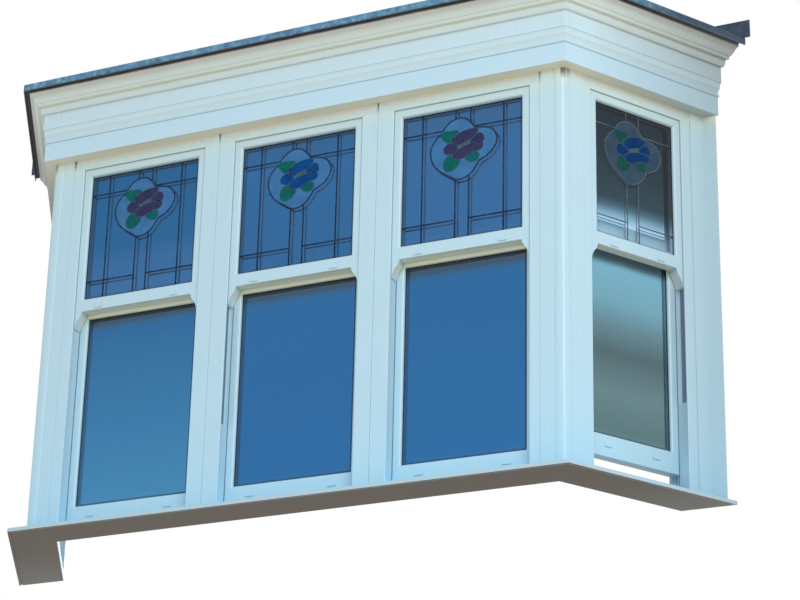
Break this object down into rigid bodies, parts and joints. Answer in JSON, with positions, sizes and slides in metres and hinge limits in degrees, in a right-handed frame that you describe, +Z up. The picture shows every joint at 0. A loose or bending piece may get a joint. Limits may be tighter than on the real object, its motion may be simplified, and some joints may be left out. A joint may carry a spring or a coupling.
{
  "type": "canted bay of sliding sash windows",
  "caption": "Canted bay of vertical sliding sash windows with run-through horns, corner posts and a mitred sill, under a moulded cornice with a lead roof.",
  "frame": {"origin": "bottom centre of the whole bay, on the level of the sill's underside", "axes": "+X to the viewer's right when the front is looked at, +Y towards the wall, +Z up"},
  "size_m": [3.5776, 0.819, 2.12],
  "materials": {
    "window_plastic": "white window plastic, smooth, with light dirt streaks",
    "painted_timber": "moulded timber painted white, slightly dirty",
    "glass": "clear sealed double glazing",
    "lead_sheet": "weathered lead sheet, dull blue-grey",
    "deck_board": "roof board, weathered dark"
  },
  "bodies": {
    "root": {"corner_post_left": "window_plastic", "corner_post_right": "window_plastic", "crown_front": "painted_timber", "crown_left": "painted_timber", "crown_right": "painted_timber", "drain_caps": "window_plastic", "end_post_left": "window_plastic", "end_post_right": "window_plastic", "fascia_front": "painted_timber", "fascia_left": "painted_timber", "fascia_right": "painted_timber", "frame_front_left": "window_plastic", "frame_front_middle": "window_plastic", "frame_front_right": "window_plastic", "frame_left": "window_plastic", "frame_right": "window_plastic", "glazing_beads": "window_plastic", "lead_flashing": "lead_sheet", "lead_roof": "lead_sheet", "lower_glass_front_left": "glass", "lower_glass_front_middle": "glass", "lower_glass_front_right": "glass", "lower_glass_left": "glass", "lower_glass_right": "glass", "lower_sash_front_left": "window_plastic", "lower_sash_front_middle": "window_plastic", "lower_sash_front_right": "window_plastic", "lower_sash_left": "window_plastic", "lower_sash_right": "window_plastic", "roof_deck": "deck_board", "sill_front": "window_plastic", "sill_left": "window_plastic", "sill_right": "window_plastic", "track_covers": "window_plastic", "upper_glass_front_left": "glass", "upper_glass_front_middle": "glass", "upper_glass_front_right": "glass", "upper_glass_left": "glass", "upper_glass_right": "glass", "upper_sash_front_left": "window_plastic", "upper_sash_front_middle": "window_plastic", "upper_sash_front_right": "window_plastic", "upper_sash_left": "window_plastic", "upper_sash_right": "window_plastic"}
  },
  "joints": []
}
